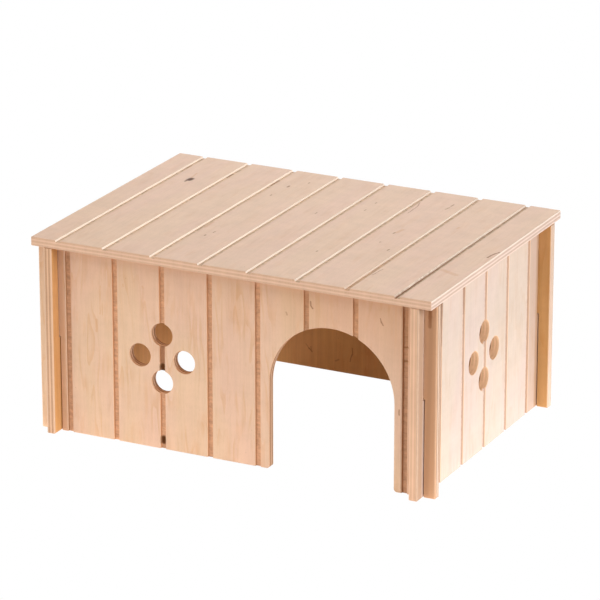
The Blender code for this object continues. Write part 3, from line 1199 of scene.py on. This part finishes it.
# %% [markdown]
# ## Portrait
# The floor is plain and pale. It glows softly near the walls, as white paper under studio
# lamps does. How far a point lies outside the walls decides how much, with the ends of
# the house and its sides each at their own strength. Indoors it is dim, except near the
# left wall.

# %% The glow of the floor
FLOOR_REACH = 4
FLOOR_GAP = 0.2 * MM
PAPER_WHITE = (0.9, 0.9, 0.9, 1)
PAPER_ROUGHNESS = 0.9
TABLE_GLOW = 0.74
SIDE_GLOW = 1.5
INDOOR_GLOW = 0.22
INDOOR_GLOW_LEFT = 1.05
UNDER_WALLS = (-11 * MM, -9 * MM)  # past the house's edge; indoors ends here
END_FADE = (450 * MM, 50 * MM)  # past the front or the back of the house
SIDE_FADE = (250 * MM, 20 * MM)  # past its left or right side
LEFT_FADE = (-20 * MM, -120 * MM)  # across the room, towards the left wall
floor_mesh = bpy.data.meshes.new("floor")
floor_corners = ((-1, -1), (1, -1), (1, 1), (-1, 1))
floor_corners = [(x * FLOOR_REACH, y * FLOOR_REACH, -FLOOR_GAP) for x, y in floor_corners]
floor_mesh.from_pydata(floor_corners, [], [(0, 1, 2, 3)])
floor = add_object("floor", floor_mesh)
floor_finish, paper = new_finish("floor_paper")
paper.inputs["Base Color"].default_value = PAPER_WHITE
paper.inputs["Roughness"].default_value = PAPER_ROUGHNESS
paper.inputs["Emission Strength"].default_value = 1
table = Wiring(floor_finish.node_tree)
spot_x, spot_y, _ = table.parts(table.add("ShaderNodeTexCoord", out=OBJECT))
past_side = abs(spot_x) - cad_high.x
past_end = abs(spot_y) - cad_high.y
past_house = past_side.most(past_end)
beside = past_side.above(past_end)
outside = past_house.fade(*UNDER_WALLS)
before = (1 - beside) * past_house.fade(*END_FADE) * TABLE_GLOW
around = before + beside * past_house.fade(*SIDE_FADE) * SIDE_GLOW
leftness = spot_x.fade(*LEFT_FADE)
indoors = (1 - outside) * (leftness * (INDOOR_GLOW_LEFT - INDOOR_GLOW) + INDOOR_GLOW)
glow = outside * around + indoors
glow_colour = table.vector(glow, glow, glow)
table.feed(paper.inputs["Emission Color"], glow_colour)
print("floor nodes so far:", len(floor_finish.node_tree.nodes))

# %% [markdown]
# Camera rays and shadow rays pass through the floor to an equally white backdrop, because
# the side walls slide down past it when the house is taken apart, and an opaque floor
# would hide them. Seen from below the paper is translucent, so that a wall is lit the
# same on both sides of it.

# %% A floor that rays pass through
CAMERA_RAY, SHADOW_RAY = 0, 1  # outputs of a Light Path node
below = table.add("ShaderNodeNewGeometry").node.outputs["Backfacing"]
shine = table.add("ShaderNodeEmission", None, {"Color": glow_colour})
lit_through = table.add("ShaderNodeBsdfTranslucent", None, {"Color": PAPER_WHITE})
underside = table.add("ShaderNodeAddShader", None, {0: shine, 1: lit_through})
sides = {0: below, 1: paper.outputs["BSDF"], 2: underside}
both_sides = table.add("ShaderNodeMixShader", None, sides)
seen = table.number("ShaderNodeLightPath", out=CAMERA_RAY)
shading = table.number("ShaderNodeLightPath", out=SHADOW_RAY)
clear = table.add("ShaderNodeBsdfTransparent")
layers = {0: seen.most(shading), 1: both_sides, 2: clear}
paper_or_clear = table.add("ShaderNodeMixShader", None, layers)
table.feed(floor_finish.node_tree.nodes["Material Output"].inputs["Surface"], paper_or_clear)
floor_mesh.materials.append(floor_finish)
print("floor nodes:", len(floor_finish.node_tree.nodes))

# %% [markdown]
# Large soft lamps stand round the house as in a small studio. A lamp's place is easiest
# to give as a photographer would: how far round from the front, how high, how far off.
# All of them look at the middle of the house.

# %% Lamps
HOUSE_MIDDLE = Vector((0, 0, 0.08))
WHITE = (1, 1, 1)
WARM_WHITE = (1, 0.93, 0.81)
LAMPS = (
    # name, degrees round and up, distance and width in metres, watts, colour
    ("window_right", 80, 25, 2.0, 1.0, 28, WHITE),
    ("front_right", 60, 30, 2.0, 1.0, 4.2, WHITE),
    ("front", -12, 45, 2.0, 2.2, 16.5, WARM_WHITE),
    ("front_left", -60, 25, 2.0, 1.4, 18, WARM_WHITE),
    ("behind", 200, 22, 1.3, 1.0, 14.5, WHITE),
)


def stand_off(azimuth, elevation, distance):
    """A point that far from the house, in a direction given in degrees round and up."""
    turn, lift = radians(azimuth), radians(elevation)
    level = Vector((sin(turn) * cos(lift), -cos(turn) * cos(lift), sin(lift)))
    return HOUSE_MIDDLE + level * distance


def softbox(name, place, width, power, colour):
    """A soft square light that looks at the middle of the house."""
    light = bpy.data.lights.new(name, "AREA")
    light.shape = "RECTANGLE"
    light.size = light.size_y = width
    light.energy = power
    light.color = colour
    item = add_object(name, light)
    item.location = place
    item.rotation_euler = (HOUSE_MIDDLE - place).to_track_quat("-Z", "Y").to_euler()


for name, azimuth, elevation, distance, width, power, colour in LAMPS:
    softbox(name, stand_off(azimuth, elevation, distance), width, power, colour)
print("lamps:", len(LAMPS))

# %% [markdown]
# The backdrop is white to the camera and almost black to everything else. So it fills the
# picture behind the house and hardly lights it.

# %% The white backdrop
WORLD_GLOW = 0.02
world = bpy.data.worlds.new("studio")
world.use_nodes = True
sky = Wiring(world.node_tree)
white = sky.number("ShaderNodeLightPath", out=CAMERA_RAY).most(WORLD_GLOW)
backdrop = world.node_tree.nodes["Background"]
sky.feed(backdrop.inputs["Color"], sky.vector(white, white, white))
backdrop.inputs["Strength"].default_value = 1
bpy.context.scene.world = world
bpy.context.scene.view_settings.view_transform = "Standard"
print("light from the backdrop:", WORLD_GLOW)

# %% [markdown]
# The camera stands where the photographer's did, found by fitting the corners of the
# boards, and a long lens keeps their edges near parallel.

# %% Camera
CAMERA_LENS = 235.98
SENSOR_WIDTH = 36
CAMERA_PLACE = (1.26374, -2.52579, 1.08874)
CAMERA_AZIMUTH = 26.557
CAMERA_ELEVATION = 19.395
camera_data = bpy.data.cameras.new("portrait_camera")
camera_data.lens = CAMERA_LENS
camera_data.sensor_width = SENSOR_WIDTH
camera = add_object("portrait_camera", camera_data)
camera.location = CAMERA_PLACE
camera.rotation_euler = (radians(90 - CAMERA_ELEVATION), 0, radians(CAMERA_AZIMUTH))
bpy.context.scene.camera = camera
print("camera at", tuple(camera.location))
